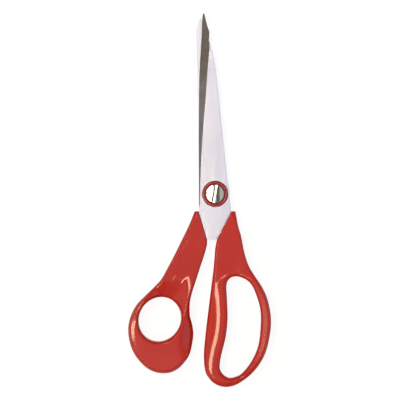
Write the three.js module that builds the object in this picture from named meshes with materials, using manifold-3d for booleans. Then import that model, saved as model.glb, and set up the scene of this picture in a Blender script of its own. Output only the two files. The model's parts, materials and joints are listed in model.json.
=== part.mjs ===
// Fabric shears: two ground blades that turn on a slotted pivot screw, each with a moulded
// handle. The long finger loop belongs to the rear blade, the round thumb loop to the front one.
// Lengths are millimetres. The pieces are built round the pivot, with the pivot's axis on Z,
// the tips towards +Y and the screw's head towards +Z, and lifted onto the table at the end.

import * as THREE from 'three';
import * as BufferGeometryUtils from 'three/addons/utils/BufferGeometryUtils.js';
import Module from 'manifold-3d';

const wasm = await Module();
wasm.setup();

// Blades
const bladeReach = 102.8;          // pivot to tip
const bladeBreadth = 18;           // across the blade beside the pivot
const bladeThickness = 2.4;
const tipThickness = 1.3;
const taperStart = 18;             // distance above the pivot where the blade starts to thin
const edgeLand = 0.25;             // thickness left at the cutting edge
const spineChamfer = 0.6;
const bladeGap = 0.1;              // between the two inner faces
const shoulderDrop = 9.9;          // pivot to the handles' upper ends
const throatDrop = 26.5;           // pivot to the blades' lower edge, between the handles
const throatBreadth = 4.8;         // length of that edge
const throatOffset = 1.8;          // its middle lies this far towards the thumb side
const tangDrop = 41;               // pivot to the end of the tang inside its handle

// Fits
const seatClearance = 0.3;         // round a piece that is seated in another
const runningClearance = 0.1;      // between a blade and the bush that it turns on
const overrun = 2;                 // how far a cut runs past the surface

// Pivot
const shankDiameter = 6;
const sleeveDiameter = 9;          // the bush's sleeve, in the blade's bore
const flangeDiameter = 15;         // the bush's coloured ring
const flangeHeight = 1.5;
const seatFloor = 0.7;             // bush material under the screw's head
const headLip = 2.15;              // how far the head and the nut stand out past the shank
const headHeight = 1.9;
const headRim = 1.48;              // straight part of the head's side
const slotWidth = 1.2;
const slotDepth = 1.1;
const slotLean = THREE.MathUtils.degToRad(-9.7);
const endChamfer = 0.5;
const headDiameter = shankDiameter + headLip * 2;

// Handles
const fingerGauge = 100;           // the finger handle's outline points are shares of this
const thumbGauge = 100;            // and the thumb handle's are shares of this
const shoulderWidth = 2.3;         // the handle's flat upper end beside the blade
const neckDepth = 9.2;             // front to back, where the blade enters
const fingerLoopDepth = 14.4;
const thumbLoopDepth = 18;
const neckEnd = 30;                // pivot to where the neck starts to deepen
const loopStart = 66;              // pivot to where the loop has its full depth
const neckEdgeRadius = 1.7;
const throatEdgeRadius = 0.9;      // along the slanted edge that the blade comes out of
const nearBarRadius = 2.4;         // the finger loop's near bar is the one beside the thumb loop
const farBarRadius = 1.7;
const nearHoleRadius = 1.9;
const farHoleRadius = 1.4;
const nearCrest = 3.75;            // finger hole to the crest that the near bar rolls away from
const nearRollRadius = 50;         // how round the near bar is beyond its crest
const farLand = 1.9;               // flat part of the far bar before it leans in towards the hole
const thumbLoopRadius = 1.8;
const thumbHoleRadius = 1.6;
const thumbLandWidth = 3.6;        // sloped strip down the thumb loop's left side
const funnelTop = 45.6;            // pivot to where the funnel that leads the thumb in starts
const funnelStart = 9;             // run over which the funnel's floor steepens
const ridgeSoftness = 0.45;        // rounding of the ridge between the funnel and the wall
const thumbHoleWidth = 25.3;
const thumbHoleHeight = 26.1;

// Shares of the outlines
const edgeTurnShare = 0.86;        // how much of a quarter round an edge takes up
const seamShare = 0.6;             // part of the depth that is upright at the parting line
const throatWallShare = 0.76;      // part of the depth that is upright along the slanted edge
const barShare = 0.75;             // most of a bar's width that one side's rounding may take
const nearSlopeShare = 0.045;      // slope of the near bar just beyond its crest
const farSlopeShare = 0.06;        // slope of the far bar towards its hole
const landSlopeShare = 0.145;      // slope of the strip down the thumb loop's left side
const landPower = 6;               // how quickly that strip fades round the loop
const landBearing = THREE.MathUtils.degToRad(179);
const funnelSlopeShare = 0.8;
const flankSlopeShare = 1;         // slope of the ridge's side towards the funnel
const funnelBearing = THREE.MathUtils.degToRad(78);
const funnelSpread = THREE.MathUtils.degToRad(24);
const funnelFrom = THREE.MathUtils.degToRad(-25);
const funnelFull = THREE.MathUtils.degToRad(30);
const wallDepthShare = 0.8;        // part of the loop's depth that its wall may take away
const nearFadeShares = [-0.1, 0.5];    // where the near bar and the far bar begin and end, as
const farFadeShares = [-0.35, 0.6];    // shares of the way from the loop's middle to its side
const bevelEndShare = -0.061;      // where the cutting edge ends, as a share of the blade's reach

// Each row of a blade's curves is [share of the blade's breadth, share of its reach].
const frontSpineShares = [
  [0.503, -0.061], [0.439, 0.021], [0.393, 0.099], [0.289, 0.276], [0.181, 0.454], [0.133, 0.543],
  [0.078, 0.631], [0.011, 0.72], [-0.067, 0.787], [-0.139, 0.842], [-0.183, 0.904], [-0.225, 0.925],
  [-0.289, 0.964], [-0.36, 1],
];
const frontEdgeShares = [
  [-0.497, -0.061], [-0.494, 0.099], [-0.506, 0.276], [-0.506, 0.454], [-0.5, 0.584],
  [-0.483, 0.72], [-0.433, 0.865], [-0.417, 0.934], [-0.368, 1],
];
// The rear blade's rows are as seen from behind, with its spine on the right as well.
const rearSpineShares = [
  [0.511, -0.061], [0.505, 0.021], [0.5, 0.099], [0.505, 0.276], [0.528, 0.454], [0.556, 0.543],
  [0.556, 0.631], [0.572, 0.72], [0.578, 0.77], [0.6, 0.865], [0.583, 0.925], [0.556, 0.942],
  [0.494, 0.964], [0.4, 0.986], [0.368, 1],
];
const rearEdgeShares = [
  [-0.461, -0.061], [-0.456, 0.021], [-0.378, 0.099], [-0.272, 0.276], [-0.133, 0.454],
  [-0.017, 0.584], [0.106, 0.72], [0.261, 0.865], [0.333, 0.934], [0.36, 1],
];
const bevelWidthShares = [
  [0.03, -0.061], [0.036, -0.034], [0.056, 0.099], [0.111, 0.276], [0.183, 0.454], [0.222, 0.543],
  [0.247, 0.631], [0.272, 0.72], [0.275, 0.83], [0.25, 0.904], [0.23, 1],
];
// Each row of a tang is [share of the blade's breadth, share of the tang's drop].
const frontTangShares = [[-0.24, -0.72], [-0.53, -1], [-0.79, -0.98], [-0.7, -0.6], [-0.58, -0.34]];
const rearTangShares = [[-0.12, -0.7], [-0.24, -1], [-0.7, -0.98], [-0.65, -0.5], [-0.56, -0.34]];

// The handles' outer outlines run clockwise, from the flat upper end round the loop to the throat.
const fingerOuterShares = [
  [0.133, -0.188], [0.148, -0.238], [0.162, -0.311], [0.177, -0.369], [0.197, -0.42],
  [0.224, -0.464], [0.271, -0.536], [0.3, -0.605], [0.319, -0.712], [0.311, -0.811],
  [0.28, -0.922], [0.219, -1.013], [0.143, -1.074], [0.101, -1.094], [0.059, -1.1],
  [0.021, -1.092], [-0.013, -1.073], [-0.036, -1.048], [-0.054, -1.017], [-0.064, -0.93],
  [-0.056, -0.815], [-0.04, -0.678], [-0.024, -0.548], [-0.009, -0.428], [-0.003, -0.362],
  [0.001, -0.311],
];
const fingerHoleShares = [
  [0.123, -0.467], [0.089, -0.475], [0.071, -0.493], [0.063, -0.518], [0.066, -0.605],
  [0.069, -0.712], [0.055, -0.815], [0.032, -0.918], [0.025, -0.964], [0.025, -0.995],
  [0.036, -1.019], [0.055, -1.039], [0.086, -1.049], [0.116, -1.044], [0.147, -1.031],
  [0.204, -0.964], [0.246, -0.876], [0.263, -0.769], [0.262, -0.655], [0.229, -0.548],
  [0.21, -0.515], [0.188, -0.491], [0.158, -0.475],
];
const thumbOuterShares = [
  [-0.046, -0.288], [-0.062, -0.349], [-0.086, -0.421], [-0.11, -0.496], [-0.131, -0.561],
  [-0.143, -0.616], [-0.145, -0.661], [-0.143, -0.697], [-0.131, -0.743], [-0.124, -0.797],
  [-0.131, -0.856], [-0.145, -0.911], [-0.172, -0.956], [-0.208, -0.993], [-0.249, -1.015],
  [-0.29, -1.021], [-0.331, -1.017], [-0.376, -0.999], [-0.417, -0.966], [-0.454, -0.92],
  [-0.477, -0.874], [-0.49, -0.825], [-0.495, -0.77], [-0.488, -0.72], [-0.472, -0.675],
  [-0.445, -0.629], [-0.399, -0.581], [-0.345, -0.529], [-0.308, -0.488], [-0.27, -0.421],
  [-0.238, -0.361], [-0.194, -0.272], [-0.15, -0.181],
];
// The ridge down the thumb loop. Each row is [across, along, slope of the wall on its right].
const thumbRidgeShares = [
  [-0.158, -0.47, 0], [-0.154, -0.55, 0], [-0.158, -0.6, 0.3], [-0.165, -0.65, 0.8], [-0.179, -0.715, 1.1],
  [-0.184, -0.776, 1.15], [-0.186, -0.833, 1.15], [-0.191, -0.89, 0.9], [-0.198, -0.95, 0.35], [-0.203, -1.04, 0],
];
const fingerCentreShares = [0.142, -0.747];
const thumbCentreShares = [-0.315, -0.714];

// Fineness
const bladeStations = 32;
const outlineSteps = 76;
const throatSteps = 5;
const sectionSteps = 13;
const roundSteps = 36;
const domeSteps = 4;

const steel = { color: 0xe2dfe6, roughness: 0.28, metalness: 1 };
const screwSteel = { color: 0xd0cfd2, roughness: 0.2, metalness: 1 };
const red = { color: 0xbc3e32, roughness: 0.32, metalness: 0 };

const frontFace = bladeGap / 2 + bladeThickness;   // height of a blade's outer face over the middle

// A closed BufferGeometry as a solid that can be cut and joined.
function toSolid(geometry) {
  const bare = geometry.clone();
  bare.deleteAttribute('normal');
  bare.deleteAttribute('uv');
  const merged = BufferGeometryUtils.mergeVertices(bare, 1e-5);
  return new wasm.Manifold(new wasm.Mesh({
    numProp: 3,
    vertProperties: new Float32Array(merged.attributes.position.array),
    triVerts: new Uint32Array(merged.index.array),
  }));
}

function toGeometry(solid) {
  const mesh = solid.getMesh();
  const geometry = new THREE.BufferGeometry();
  const kept = new Float32Array(mesh.vertProperties);
  geometry.setAttribute('position', new THREE.BufferAttribute(kept, mesh.numProp));
  geometry.setIndex(new THREE.BufferAttribute(new Uint32Array(mesh.triVerts), 1));
  const flat = geometry.toNonIndexed();
  flat.computeVertexNormals();
  return flat;
}

// A solid through rings of points, each ring with as many points, closed by a fan at both ends.
// Seen from the first ring towards the last, the rings run clockwise.
function loft(rings) {
  const count = rings[0].length;
  const positions = rings.flat().flatMap((point) => [point.x, point.y, point.z]);
  const index = [];
  for (let ring = 0; ring < rings.length - 1; ring += 1) {
    for (let side = 0; side < count; side += 1) {
      const here = ring * count + side;
      const next = ring * count + (side + 1) % count;
      index.push(here, next, here + count, next, next + count, here + count);
    }
  }
  const last = (rings.length - 1) * count;
  for (let side = 1; side < count - 1; side += 1) {
    index.push(0, side + 1, side);
    index.push(last, last + side, last + side + 1);
  }
  const geometry = new THREE.BufferGeometry();
  geometry.setAttribute('position', new THREE.Float32BufferAttribute(positions, 3));
  geometry.setIndex(index);
  return geometry;
}

// A smooth value along a blade, from rows of [share of the breadth, share of the reach].
function alongBlade(rows) {
  const places = rows.map((row) => row[1]);
  const values = rows.map((row) => row[0]);
  const curve = new THREE.CubicInterpolant(places, values, 1);
  return (share) => curve.evaluate(share)[0] * bladeBreadth;
}

function thicknessAt(y) {
  const run = THREE.MathUtils.clamp((y - taperStart) / (bladeReach - taperStart), 0, 1);
  return THREE.MathUtils.lerp(bladeThickness, tipThickness, run);
}

// The four corners below the pivot where a blade meets the two handles, as seen from the
// blade's own outer face. The blade's own handle is on the left.
function bladeCorners(throatMiddle) {
  return {
    farShoulder: new THREE.Vector2(bladeBreadth / 2, -shoulderDrop),
    farThroat: new THREE.Vector2(throatMiddle + throatBreadth / 2, -throatDrop),
    ownThroat: new THREE.Vector2(throatMiddle - throatBreadth / 2, -throatDrop),
    ownShoulder: new THREE.Vector2(-bladeBreadth / 2, -shoulderDrop),
  };
}

function tangPoints(tangShares) {
  return tangShares.map(([across, along]) => new THREE.Vector2(across * bladeBreadth, along * tangDrop));
}

// The part of a blade below the pivot that its handle is moulded round.
function tangOutline(corners, tangShares) {
  const { farShoulder, farThroat, ownThroat, ownShoulder } = corners;
  return [farShoulder, farThroat, ownThroat, ...tangPoints(tangShares), ownShoulder];
}

// One blade with its outer face up, its spine on the right and its inner face at bladeGap / 2.
function bladeGeometry(spineRows, edgeRows, corners, tangShares) {
  const spineAt = alongBlade(spineRows);
  const edgeAt = alongBlade(edgeRows);
  const bevelAt = alongBlade(bevelWidthShares);
  const shares = [];
  for (let step = 0; step <= bladeStations; step += 1) {
    shares.push(THREE.MathUtils.lerp(bevelEndShare, 1, step / bladeStations));
  }
  const right = shares.map((share) => new THREE.Vector2(spineAt(share), share * bladeReach));
  const left = shares.map((share) => new THREE.Vector2(edgeAt(share), share * bladeReach));
  const below = tangOutline(corners, tangShares);
  const outline = new THREE.Shape([...below, ...left, ...right.reverse()].reverse());
  const bore = new THREE.Path();
  bore.absarc(0, 0, sleeveDiameter / 2 + runningClearance, 0, Math.PI * 2, true);
  outline.holes.push(bore);
  const plate = new THREE.ExtrudeGeometry(outline, {
    depth: bladeThickness,
    bevelEnabled: false,
    curveSegments: roundSteps / 2,
  });

  const bevelRings = shares.map((share) => {
    const y = share * bladeReach;
    const top = thicknessAt(y);
    const edge = edgeAt(share);
    const crest = edge + bevelAt(share);
    const lean = ((crest - edge) / (top - edgeLand)) * overrun;
    return [
      new THREE.Vector3(crest + lean, y, top + overrun),
      new THREE.Vector3(edge - lean, y, edgeLand - overrun),
      new THREE.Vector3(edge - lean - overrun, y, top + overrun),
    ];
  });
  const spineRings = shares.map((share) => {
    const y = share * bladeReach;
    const top = thicknessAt(y);
    const spine = spineAt(share);
    return [
      new THREE.Vector3(spine + overrun, y, top - spineChamfer - overrun),
      new THREE.Vector3(spine - spineChamfer - overrun, y, top + overrun),
      new THREE.Vector3(spine + overrun, y, top + overrun),
    ];
  });
  const side = bladeBreadth * 2;
  const taperRings = [-side, side].map((x) => [
    new THREE.Vector3(x, taperStart, bladeThickness),
    new THREE.Vector3(x, bladeReach + overrun, tipThickness),
    new THREE.Vector3(x, bladeReach + overrun, bladeThickness + overrun),
    new THREE.Vector3(x, taperStart, bladeThickness + overrun),
  ]);
  const solid = toSolid(plate)
    .subtract(toSolid(loft(bevelRings)))
    .subtract(toSolid(loft(spineRings)))
    .subtract(toSolid(loft(taperRings)));
  const geometry = toGeometry(solid);
  geometry.translate(0, 0, bladeGap / 2);
  return geometry;
}

// Distance from a point to a run of straight stretches.
function distanceTo(run, point) {
  let least = Infinity;
  const nearest = new THREE.Vector2();
  for (let place = 0; place < run.length - 1; place += 1) {
    const along = run[place + 1].clone().sub(run[place]);
    const share = point.clone().sub(run[place]).dot(along) / along.lengthSq();
    nearest.copy(run[place]).addScaledVector(along, THREE.MathUtils.clamp(share, 0, 1));
    least = Math.min(least, nearest.distanceTo(point));
  }
  return least;
}

// Where the ray from a centre through a point crosses a closed run.
function crossing(run, centre, through) {
  const ray = through.clone().sub(centre).normalize();
  const found = new THREE.Vector2();
  for (let place = 0; place < run.length; place += 1) {
    const start = run[place].clone().sub(centre);
    const along = run[(place + 1) % run.length].clone().sub(run[place]);
    const across = ray.cross(along);
    const share = start.cross(ray) / across;
    const reach = start.cross(along) / across;
    if (share >= 0 && share <= 1 && reach > 0) {
      found.copy(centre).addScaledVector(ray, reach);
    }
  }
  return found;
}

// Most of a quarter round, from the upright share at the edge to 1 at one radius inside it.
function rounding(distance, radius, uprightShare) {
  const full = Math.sqrt(1 - (1 - edgeTurnShare) ** 2);
  const inside = THREE.MathUtils.clamp(distance / radius, 0, 1) * edgeTurnShare;
  return THREE.MathUtils.lerp(uprightShare, 1, Math.sqrt(1 - (1 - inside) ** 2) / full);
}

// A value that starts softly to rise at zero.
function softRise(value, softness) {
  return softness * Math.log(1 + Math.exp(value / softness));
}

function smoothRun(points, closed, steps) {
  const curve = new THREE.CatmullRomCurve3(points.map((p) => new THREE.Vector3(p.x, p.y, 0)), closed);
  const run = curve.getSpacedPoints(steps).map((p) => new THREE.Vector2(p.x, p.y));
  return closed ? run.slice(0, -1) : run;
}

function gaugedPoints(rows, gauge) {
  return rows.map(([across, along]) => new THREE.Vector2(across * gauge, along * gauge));
}

// A handle as a closed ring of sections between its hole and its outer outline. Each section
// rises from the parting line over the front and comes back under the rear.
function handleGeometry({ loop, throat, hole, centre, halfDepthAt, outerRadiusAt, holeRadiusAt }) {
  const outer = [...loop, ...throat.slice(1, -1)];
  const holeRun = [...hole, hole[0]];
  const rings = outer.map((end) => {
    const start = crossing(hole, centre, end);
    const width = start.distanceTo(end);
    const front = [];
    for (let step = 0; step <= sectionSteps; step += 1) {
      const share = (1 - Math.cos((Math.PI * step) / sectionSteps)) / 2;
      const point = start.clone().lerp(end, share);
      const toHole = distanceTo(holeRun, point);
      const toOutline = distanceTo(loop, point);
      const outward = point.clone().sub(centre);
      const bearing = Math.atan2(outward.y, outward.x);
      const outerRadius = Math.min(outerRadiusAt(point, bearing), width * barShare);
      const holeRadius = Math.min(holeRadiusAt(bearing), width * barShare);
      const height = halfDepthAt({ point, bearing, toHole, toOutline })
        * rounding(toOutline, outerRadius, seamShare)
        * rounding(toHole, holeRadius, seamShare)
        * rounding(distanceTo(throat, point), throatEdgeRadius, throatWallShare);
      front.push(new THREE.Vector3(point.x, point.y, height));
    }
    const rear = front.map((point) => new THREE.Vector3(point.x, point.y, -point.z)).reverse();
    return [...front, ...rear];
  });
  return ringLoft(rings);
}

// A solid through rings that come back to the first one.
function ringLoft(rings) {
  const count = rings[0].length;
  const positions = rings.flat().flatMap((point) => [point.x, point.y, point.z]);
  const index = [];
  rings.forEach((ring, place) => {
    const following = ((place + 1) % rings.length) * count;
    for (let side = 0; side < count; side += 1) {
      const here = place * count + side;
      const next = place * count + (side + 1) % count;
      const hereAfter = following + side;
      const nextAfter = following + (side + 1) % count;
      index.push(here, hereAfter, next, next, hereAfter, nextAfter);
    }
  });
  const geometry = new THREE.BufferGeometry();
  geometry.setAttribute('position', new THREE.Float32BufferAttribute(positions, 3));
  geometry.setIndex(index);
  return geometry;
}

// The tang's pocket in its handle, larger than the tang by the seat clearance all round.
function pocketGeometry(corners, tangShares) {
  const outline = tangOutline(corners, tangShares);
  const grown = outline.map((point, place) => {
    const before = outline.at(place - 1);
    const after = outline[(place + 1) % outline.length];
    const inward = point.clone().sub(before).normalize();
    const outward = after.clone().sub(point).normalize();
    const mitre = new THREE.Vector2(-inward.y - outward.y, inward.x + outward.x);
    mitre.multiplyScalar(seatClearance / (1 + inward.dot(outward)));
    return point.clone().add(mitre);
  });
  const pocket = new THREE.ExtrudeGeometry(new THREE.Shape(grown), {
    depth: bladeThickness + seatClearance * 2,
    bevelEnabled: false,
  });
  pocket.translate(0, 0, bladeGap / 2 - seatClearance);
  return pocket;
}

const parts = new THREE.Group();

function addPart(name, geometry, finish) {
  const mesh = new THREE.Mesh(geometry, new THREE.MeshStandardMaterial(finish));
  mesh.name = name;
  parts.add(mesh);
}

// The slanted edge of a handle's upper end and the flat above it, as a run from the outer
// corner of the flat to the throat. Side is 1 for the finger handle and -1 for the thumb handle.
function throatRun(side) {
  const corners = bladeCorners(-side * throatOffset);
  const top = new THREE.Vector2(side * (corners.farShoulder.x + seatClearance), corners.farShoulder.y);
  const bottom = new THREE.Vector2(side * (corners.farThroat.x + seatClearance), corners.farThroat.y);
  const run = [new THREE.Vector2(top.x + side * shoulderWidth, top.y)];
  for (let step = 0; step <= throatSteps; step += 1) {
    run.push(top.clone().lerp(bottom, step / throatSteps));
  }
  return run;
}

// 0 at the neck and 1 at the loop.
function loopShare(point) {
  return THREE.MathUtils.smoothstep(-point.y, neckEnd, loopStart);
}

// Half a handle's depth where nothing is taken off it.
function plainHalf(point, loopDepth) {
  return THREE.MathUtils.lerp(neckDepth, loopDepth, loopShare(point)) / 2;
}

// 1 on the finger loop's near bar, beside the thumb loop, and 1 on the far bar.
function nearShare(bearing) {
  return THREE.MathUtils.smoothstep(-Math.cos(bearing), ...nearFadeShares);
}

function farShare(bearing) {
  return THREE.MathUtils.smoothstep(Math.cos(bearing), ...farFadeShares);
}

// The near bar rolls away from a crest beside the hole, and the far bar leans in towards it.
function fingerHalfDepth({ point, bearing, toHole, toOutline }) {
  const fromCrest = Math.max(0, toHole - nearCrest);
  const roll = fromCrest * (nearSlopeShare + fromCrest / nearRollRadius) * nearShare(bearing);
  const leanIn = Math.max(0, toOutline - farLand) * farSlopeShare * farShare(bearing);
  return plainHalf(point, fingerLoopDepth) - (roll + leanIn) * loopShare(point);
}

function fingerHandle() {
  const throat = throatRun(1);
  const rows = gaugedPoints(fingerOuterShares, fingerGauge);
  return handleGeometry({
    loop: smoothRun([throat[0], ...rows, throat.at(-1)], false, outlineSteps),
    throat: throat.reverse(),
    hole: smoothRun(gaugedPoints(fingerHoleShares, fingerGauge), true, outlineSteps),
    centre: gaugedPoints([fingerCentreShares], fingerGauge)[0],
    halfDepthAt: fingerHalfDepth,
    outerRadiusAt: (point, bearing) => {
      const barRadius = THREE.MathUtils.lerp(nearBarRadius, farBarRadius, farShare(bearing));
      return THREE.MathUtils.lerp(neckEdgeRadius, barRadius, loopShare(point));
    },
    holeRadiusAt: (bearing) => THREE.MathUtils.lerp(nearHoleRadius, farHoleRadius, farShare(bearing)),
  });
}

// The ridge beside the thumb hole: how far a point lies to its right, and the wall's slope there.
function besideRidge(point) {
  const rows = [...thumbRidgeShares].reverse();
  const places = rows.map((row) => row[1] * thumbGauge);
  const values = rows.flatMap((row) => [row[0], row[2]]);
  const run = new THREE.CubicInterpolant(places, values, 2);
  const [across, slope] = run.evaluate(point.y);
  return { beyond: point.x - across * thumbGauge, slope: Math.max(0, slope) };
}

// To the right of the ridge a wall falls away. To its left a funnel runs down into the hole.
function thumbHalfDepth({ point, bearing, toOutline }) {
  const facing = Math.max(0, Math.cos(bearing - landBearing)) ** landPower;
  const land = Math.max(0, thumbLandWidth - toOutline) * landSlopeShare * facing * loopShare(point);
  const { beyond, slope } = besideRidge(point);
  const turn = Math.max(0, bearing - funnelBearing) / funnelSpread;
  const opening = Math.exp(-turn * turn) * THREE.MathUtils.smoothstep(bearing, funnelFrom, funnelFull);
  const run = Math.max(0, -point.y - funnelTop);
  const floor = (funnelSlopeShare * opening * run * run) / (run + funnelStart);
  const flank = flankSlopeShare * softRise(-beyond, ridgeSoftness);
  const funnel = (floor * flank) / Math.hypot(floor, flank);
  const left = plainHalf(point, thumbLoopDepth) - land - funnel;
  return left - Math.min(softRise(beyond, ridgeSoftness) * slope, left * wallDepthShare);
}

function thumbHandle() {
  const throat = throatRun(-1);
  const rows = gaugedPoints(thumbOuterShares, thumbGauge);
  const centre = gaugedPoints([thumbCentreShares], thumbGauge)[0];
  const rim = new THREE.EllipseCurve(centre.x, centre.y, thumbHoleWidth / 2, thumbHoleHeight / 2);
  return handleGeometry({
    loop: smoothRun([throat.at(-1), ...rows, throat[0]], false, outlineSteps),
    throat,
    hole: rim.getSpacedPoints(outlineSteps).slice(0, -1),
    centre,
    halfDepthAt: thumbHalfDepth,
    outerRadiusAt: (point) => THREE.MathUtils.lerp(neckEdgeRadius, thumbLoopRadius, loopShare(point)),
    holeRadiusAt: () => thumbHoleRadius,
  });
}

// A lathe turned so that its profile's second value is height.
function turned(profile) {
  const points = profile.map(([radius, height]) => new THREE.Vector2(radius, height));
  const geometry = new THREE.LatheGeometry(points, roundSteps);
  geometry.rotateX(Math.PI / 2);
  return geometry;
}

const flangeBase = frontFace + runningClearance;
const seatHeight = flangeBase + seatFloor;
const boreRadius = shankDiameter / 2 + seatClearance;

// A flanged bush: a sleeve in the blade's bore, and a rounded ring round the seat of the head.
function bushGeometry() {
  const recessRadius = headDiameter / 2 + seatClearance;
  const ringMiddle = (flangeDiameter / 2 + recessRadius) / 2;
  const ringHalf = flangeDiameter / 2 - ringMiddle;
  const profile = [
    [boreRadius, bladeGap],
    [sleeveDiameter / 2, bladeGap],
    [sleeveDiameter / 2, flangeBase],
    [flangeDiameter / 2, flangeBase],
  ];
  for (let step = 0; step <= domeSteps * 2; step += 1) {
    const angle = (Math.PI * step) / (domeSteps * 2);
    const rise = (flangeHeight - seatFloor) * Math.sin(angle);
    profile.push([ringMiddle + ringHalf * Math.cos(angle), seatHeight + rise]);
  }
  profile.push([boreRadius, seatHeight], [boreRadius, bladeGap]);
  return turned(profile);
}

// The dome of the screw's head or of the nut, from its rim in to a radius.
function domeRows(innerRadius) {
  const rows = [];
  for (let step = 0; step <= domeSteps; step += 1) {
    const radius = THREE.MathUtils.lerp(headDiameter / 2, innerRadius, step / domeSteps);
    const share = (radius * 2) / headDiameter;
    const rise = (headHeight - headRim) * (1 - share * share);
    rows.push([radius, seatHeight + headRim + rise]);
  }
  return rows;
}

function screwGeometry() {
  const shank = shankDiameter / 2;
  const end = -(seatHeight + headHeight - endChamfer);
  const body = turned([
    [0, end],
    [shank - endChamfer, end],
    [shank, end + endChamfer],
    [shank, seatHeight],
    [headDiameter / 2, seatHeight],
    ...domeRows(0),
  ]);
  const slot = new THREE.BoxGeometry(slotWidth, headDiameter + overrun, slotDepth + overrun);
  slot.translate(0, 0, seatHeight + headHeight - slotDepth + (slotDepth + overrun) / 2);
  slot.rotateZ(slotLean);
  return toGeometry(toSolid(body).subtract(toSolid(slot)));
}

function nutGeometry() {
  const profile = [[boreRadius, seatHeight], [headDiameter / 2, seatHeight], ...domeRows(boreRadius)];
  return turned([...profile, [boreRadius, seatHeight]]);
}

const thumbCorners = bladeCorners(-throatOffset);
const fingerCorners = bladeCorners(throatOffset);

const fingerBlade = bladeGeometry(rearSpineShares, rearEdgeShares, fingerCorners, rearTangShares);
fingerBlade.rotateY(Math.PI);
const fingerPocket = pocketGeometry(fingerCorners, rearTangShares);
fingerPocket.rotateY(Math.PI);
const fingerBody = toSolid(fingerHandle()).subtract(toSolid(fingerPocket));
addPart('finger_blade', fingerBlade, steel);
addPart('finger_handle', toGeometry(fingerBody), red);

const thumbPocket = pocketGeometry(thumbCorners, frontTangShares);
const thumbBody = toSolid(thumbHandle()).subtract(toSolid(thumbPocket));
addPart('thumb_blade', bladeGeometry(frontSpineShares, frontEdgeShares, thumbCorners, frontTangShares), steel);
addPart('thumb_handle', toGeometry(thumbBody), red);

const rearBush = bushGeometry();
rearBush.rotateX(Math.PI);
const nut = nutGeometry();
nut.rotateX(Math.PI);
addPart('pivot_screw', screwGeometry(), screwSteel);
addPart('front_bush', bushGeometry(), red);
addPart('rear_bush', rearBush, red);
addPart('pivot_nut', nut, screwSteel);

// The part lies on the table: the origin is under the middle of its outline.
const box = new THREE.Box3().setFromObject(parts);
const middle = box.getCenter(new THREE.Vector3());
parts.position.set(-middle.x, -middle.y, -box.min.z);

export default parts;
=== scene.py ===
import json
import math

import bmesh
import bpy
import numpy as np
from mathutils import Matrix, Vector


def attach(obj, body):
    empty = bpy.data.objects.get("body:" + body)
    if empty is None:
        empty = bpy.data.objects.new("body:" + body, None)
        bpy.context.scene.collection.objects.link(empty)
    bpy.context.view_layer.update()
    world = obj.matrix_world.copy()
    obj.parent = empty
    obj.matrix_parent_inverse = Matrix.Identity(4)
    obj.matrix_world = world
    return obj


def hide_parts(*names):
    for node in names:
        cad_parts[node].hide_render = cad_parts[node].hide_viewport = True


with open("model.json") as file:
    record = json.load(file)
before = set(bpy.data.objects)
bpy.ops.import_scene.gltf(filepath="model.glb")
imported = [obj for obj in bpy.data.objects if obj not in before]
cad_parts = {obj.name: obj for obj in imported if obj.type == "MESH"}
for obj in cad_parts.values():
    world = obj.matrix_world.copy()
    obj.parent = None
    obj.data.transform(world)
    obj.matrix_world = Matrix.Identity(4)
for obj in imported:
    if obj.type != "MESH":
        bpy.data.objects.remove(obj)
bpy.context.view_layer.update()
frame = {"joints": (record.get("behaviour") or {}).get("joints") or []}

# Fabric shears, closed, seen from straight above. Lengths here are millimetres round the
# pivot, with the tips towards +y and the screw's head towards +z. pivotPlace sets them in the
# frame.
pivotPlace = np.array(frame["joints"][0]["pos_m"])
mm = 0.001
gauge = 100  # unit of the handles' outline rows, in millimetres

pivotFit = {
    "bladeGap": 0.1,
    "bladeThickness": 2.4,
    "runningClearance": 0.1,
    "sleeveRadius": 4.5,
    "shankRadius": 3.0,
    "seatClearance": 0.3,
}
frontFace = pivotFit["bladeGap"] / 2 + pivotFit["bladeThickness"]


# Curves and outlines

def mix(low, high, share):
    return low + (high - low) * share


def smoothStep(value, low, high):
    share = np.clip((value - low) / (high - low), 0, 1)
    return share * share * (3 - 2 * share)


spanSteps = 20  # fine points from one given point to the next


# A smooth run through points with even steps, closed or open.
def smoothRun(points, closed, steps):
    points = np.array(points, float)
    if closed:
        padded = np.vstack([points[-1], points, points[0], points[1]])
    else:
        padded = np.vstack([2 * points[0] - points[1], points, 2 * points[-1] - points[-2]])
    fine = []
    for place in range(len(padded) - 3):
        p0, p1, p2, p3 = padded[place:place + 4]
        d0 = np.linalg.norm(p1 - p0) ** 0.5
        d1 = np.linalg.norm(p2 - p1) ** 0.5
        d2 = np.linalg.norm(p3 - p2) ** 0.5
        t1 = ((p1 - p0) / d0 - (p2 - p0) / (d0 + d1) + (p2 - p1) / d1) * d1
        t2 = ((p2 - p1) / d1 - (p3 - p1) / (d1 + d2) + (p3 - p2) / d2) * d1
        for share in np.linspace(0, 1, spanSteps, endpoint=False):
            bend = (2 * p1 - 2 * p2 + t1 + t2) * share - 3 * p1 + 3 * p2 - 2 * t1 - t2
            fine.append((bend * share + t1) * share + p1)
    fine.append(padded[-2])
    fine = np.array(fine)
    travelled = np.concatenate([[0], np.cumsum(np.linalg.norm(np.diff(fine, axis=0), axis=1))])
    wanted = np.linspace(0, travelled[-1], steps + 1)
    run = np.stack([np.interp(wanted, travelled, fine[:, axis]) for axis in (0, 1)], axis=1)
    return run[:-1] if closed else run


# The least distance from each point to a run of straight stretches.
def distanceTo(run, points):
    least = np.full(len(points), np.inf)
    for start, end in zip(run[:-1], run[1:]):
        along = end - start
        share = np.clip(((points - start) @ along) / (along @ along), 0, 1)
        least = np.minimum(least, np.linalg.norm(points - start - share[:, None] * along, axis=1))
    return least


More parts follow.
